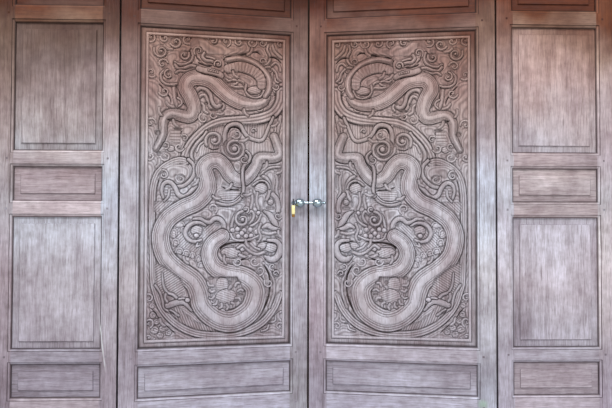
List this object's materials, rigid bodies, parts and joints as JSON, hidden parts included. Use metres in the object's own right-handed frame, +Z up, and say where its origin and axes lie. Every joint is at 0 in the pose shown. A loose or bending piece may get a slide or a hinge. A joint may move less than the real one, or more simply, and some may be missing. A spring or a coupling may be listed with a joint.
{
  "type": "carved temple door",
  "caption": "Weathered wooden temple door set in its frame: two ajar leaves with carved dragon panels between fixed panelled side leaves, with a sliding bolt and a padlock.",
  "frame": {"origin": "middle of the sill's underside, at the mid-thickness of the closed leaves", "axes": "+X along the wall to the right as seen from outside, +Y into the building, +Z up"},
  "size_m": [2.929, 0.2178, 2.255],
  "materials": {
    "frame_wood": "weathered matt",
    "leaf_wood": "weathered matt",
    "carved_wood": "weathered matt",
    "peg_wood": "weathered matt",
    "hinge_steel": "dull",
    "chrome": "polished",
    "shackle_steel": "dark",
    "brass": "satin"
  },
  "bodies": {
    "frame": {"sill": "frame_wood", "head": "frame_wood", "left_jamb": "frame_wood", "right_jamb": "frame_wood", "left_side_outer_stile": "leaf_wood", "left_side_inner_stile": "leaf_wood", "left_side_bottom_rail": "leaf_wood", "left_side_low_rail": "leaf_wood", "left_side_mid_rail": "leaf_wood", "left_side_waist_rail": "leaf_wood", "left_side_high_rail": "leaf_wood", "left_side_top_rail": "leaf_wood", "left_side_bottom_panel": "leaf_wood", "left_side_lower_panel": "leaf_wood", "left_side_middle_panel": "leaf_wood", "left_side_upper_panel": "leaf_wood", "left_side_top_panel": "leaf_wood", "left_hinge_side_plates": "hinge_steel", "right_side_outer_stile": "leaf_wood", "right_side_inner_stile": "leaf_wood", "right_side_bottom_rail": "leaf_wood", "right_side_low_rail": "leaf_wood", "right_side_mid_rail": "leaf_wood", "right_side_waist_rail": "leaf_wood", "right_side_high_rail": "leaf_wood", "right_side_top_rail": "leaf_wood", "right_side_bottom_panel": "leaf_wood", "right_side_lower_panel": "leaf_wood", "right_side_middle_panel": "leaf_wood", "right_side_upper_panel": "leaf_wood", "right_side_top_panel": "leaf_wood", "right_hinge_side_plates": "hinge_steel", "side_leaf_pegs": "peg_wood"},
    "left_door": {"left_door_outer_stile": "leaf_wood", "left_door_inner_stile": "leaf_wood", "left_door_bottom_rail": "leaf_wood", "left_door_lower_rail": "leaf_wood", "left_door_upper_rail": "leaf_wood", "left_door_top_rail": "leaf_wood", "left_door_bottom_panel": "leaf_wood", "left_door_top_panel": "leaf_wood", "left_door_carved_panel": "carved_wood", "left_door_pegs": "peg_wood", "left_hinge_door_plates": "hinge_steel", "left_lock_boss": "chrome"},
    "right_door": {"right_door_outer_stile": "leaf_wood", "right_door_inner_stile": "leaf_wood", "right_door_bottom_rail": "leaf_wood", "right_door_lower_rail": "leaf_wood", "right_door_upper_rail": "leaf_wood", "right_door_top_rail": "leaf_wood", "right_door_bottom_panel": "leaf_wood", "right_door_top_panel": "leaf_wood", "right_door_carved_panel": "carved_wood", "right_door_pegs": "peg_wood", "right_hinge_door_plates": "hinge_steel", "right_lock_boss": "chrome"},
    "bolt": {"lock_bolt": "chrome"},
    "shackle": {"padlock_shackle": "shackle_steel"},
    "case": {"padlock_case": "brass"}
  },
  "joints": [
    {"name": "left_door_hinge", "type": "hinge", "parent": "frame", "child": "left_door", "pos_m": [-0.8281, 0.0275, 1.1], "axis": [0, 0, 1], "range_deg": [-9.1, 80.9]},
    {"name": "right_door_hinge", "type": "hinge", "parent": "frame", "child": "right_door", "pos_m": [0.8281, 0.0275, 1.1], "axis": [0, 0, -1], "range_deg": [-9.1, 80.9]},
    {"name": "bolt_slide", "type": "slide", "parent": "right_door", "child": "bolt", "axis": [1, 0, 0], "range_m": [0, 0.035]},
    {"name": "padlock_swing", "type": "hinge", "parent": "left_door", "child": "shackle", "pos_m": [-0.06916, 0.07733, 1.059], "axis": [0, 0, -1], "range_deg": [0, 75]},
    {"name": "padlock_release", "type": "slide", "parent": "shackle", "child": "case", "axis": [0, 0, -1], "range_m": [0, 0.012]}
  ]
}
